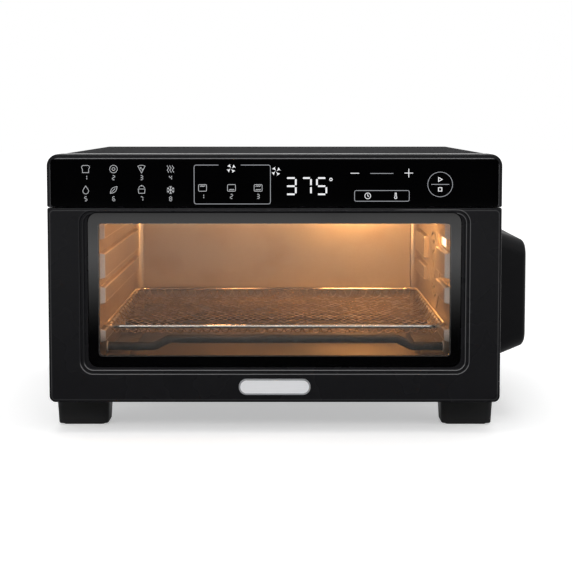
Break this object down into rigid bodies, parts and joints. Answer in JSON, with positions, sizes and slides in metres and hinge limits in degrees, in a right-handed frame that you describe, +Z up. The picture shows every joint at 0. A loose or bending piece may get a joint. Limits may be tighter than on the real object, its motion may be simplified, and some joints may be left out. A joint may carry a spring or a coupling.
{
  "type": "air fryer toaster oven",
  "caption": "Counter-top air fryer toaster oven with a touch panel, drop-down glass door, wire basket, side fan and rear crumb tray.",
  "frame": {"origin": "middle of the whole oven's box, side cover and rear spacers included, at table level", "axes": "+X to the right as you face the door, +Y from the door to the back, +Z up"},
  "size_m": [0.4396, 0.3306, 0.2495],
  "materials": {
    "shell_paint": "satin dark grey powder coat",
    "case_steel": "plain zinc coated sheet",
    "cavity_steel": "bright stainless sheet",
    "door_plastic": "fine satin moulded plastic",
    "fascia_plastic": "fine satin moulded plastic",
    "cover_plastic": "satin moulded plastic",
    "black_glass": "gloss black backed glass",
    "outer_glass": "clear glass with a printed black border",
    "inner_glass": "clear glass",
    "heater_metal": "heat tinted sheath",
    "ceramic": "glazed steatite",
    "polished_wire": "polished stainless wire",
    "net_wire": "stainless net",
    "tray_steel": "bright sheet with light use marks",
    "fan_alloy": "pressed sheet",
    "shaft_steel": "ground steel",
    "motor_metal": "black lacquer",
    "bronze": "sintered bronze",
    "seal_rubber": "matt silicone",
    "foot_rubber": "matt rubber",
    "foot_plastic": "satin moulded plastic",
    "badge_metal": "brushed face with a bright rim",
    "screw_steel": "zinc plated",
    "spring_steel": "spring wire",
    "board_laminate": "solder resist",
    "part_plastic": "moulded component",
    "bush_plastic": "natural acetal",
    "lamp_glass": "clear glass"
  },
  "bodies": {
    "root": {"front_frame": "cavity_steel", "outer_shell": "shell_paint", "back_panel": "shell_paint", "base_pan": "case_steel", "side_cover": "cover_plastic", "cavity_left_wall": "cavity_steel", "cavity_right_wall": "cavity_steel", "cavity_roof": "cavity_steel", "cavity_floor": "cavity_steel", "cavity_back_wall": "cavity_steel", "temperature_probe": "shaft_steel", "thermal_cutout": "ceramic", "upper_heater_front": "heater_metal", "upper_heater_rear": "heater_metal", "lower_heater_front": "heater_metal", "lower_heater_rear": "heater_metal", "heater_bushes": "ceramic", "lamp_lens": "lamp_glass", "lamp_holder": "case_steel", "lamp_bulb": "lamp_glass", "crumb_tray_guides": "case_steel", "fan_guard": "cavity_steel", "fan_chamber": "case_steel", "fan_motor": "motor_metal", "motor_bushes": "bronze", "motor_bracket": "case_steel", "hinge_pins": "shaft_steel", "hinge_brackets": "case_steel", "hinge_springs": "spring_steel", "front_fascia": "fascia_plastic", "touch_glass": "black_glass", "display_module": "part_plastic", "control_board": "board_laminate", "board_carrier": "part_plastic", "power_board": "board_laminate", "power_board_standoffs": "bush_plastic", "power_board_parts": "part_plastic", "rear_spacers": "foot_plastic", "cord_gland": "foot_plastic", "case_screws": "screw_steel", "foot_pads": "foot_rubber", "foot_front_left": "foot_plastic", "foot_front_right": "foot_plastic", "foot_rear_left": "foot_plastic", "foot_rear_right": "foot_plastic"},
    "door": {"door_frame": "door_plastic", "door_outer_glass": "outer_glass", "door_inner_glass": "inner_glass", "door_inner_panel": "case_steel", "door_gasket": "seal_rubber", "door_screws": "screw_steel", "badge_plate": "badge_metal", "hinge_bushes": "bush_plastic"},
    "basket": {"basket_rim": "polished_wire", "basket_net": "net_wire"},
    "crumb_tray": {"crumb_tray": "tray_steel"},
    "fan": {"fan_impeller": "fan_alloy", "motor_shaft": "shaft_steel", "motor_rotor": "case_steel", "cooling_fan": "part_plastic"}
  },
  "joints": [
    {"name": "door_hinge", "type": "hinge", "parent": "root", "child": "door", "pos_m": [-0.01825, -0.1487, 0.0335], "axis": [1, 0, 0], "range_deg": [0, 90], "stiffness_Nm_per_rad": 0.3, "springref_deg": -28.65},
    {"name": "basket_slide", "type": "slide", "parent": "root", "child": "basket", "axis": [0, -1, 0], "range_m": [0, 0.11]},
    {"name": "crumb_tray_slide", "type": "slide", "parent": "root", "child": "crumb_tray", "axis": [0, 1, 0], "range_m": [0, 0.2]},
    {"name": "fan_spin", "type": "hinge", "parent": "root", "child": "fan", "pos_m": [0.16375, -0.0147, 0.1345], "axis": [1, 0, 0], "continuous": true}
  ],
  "couplings": [
    {"joint": "basket_slide", "follows": "door_hinge", "m_per_rad": 0.07}
  ]
}
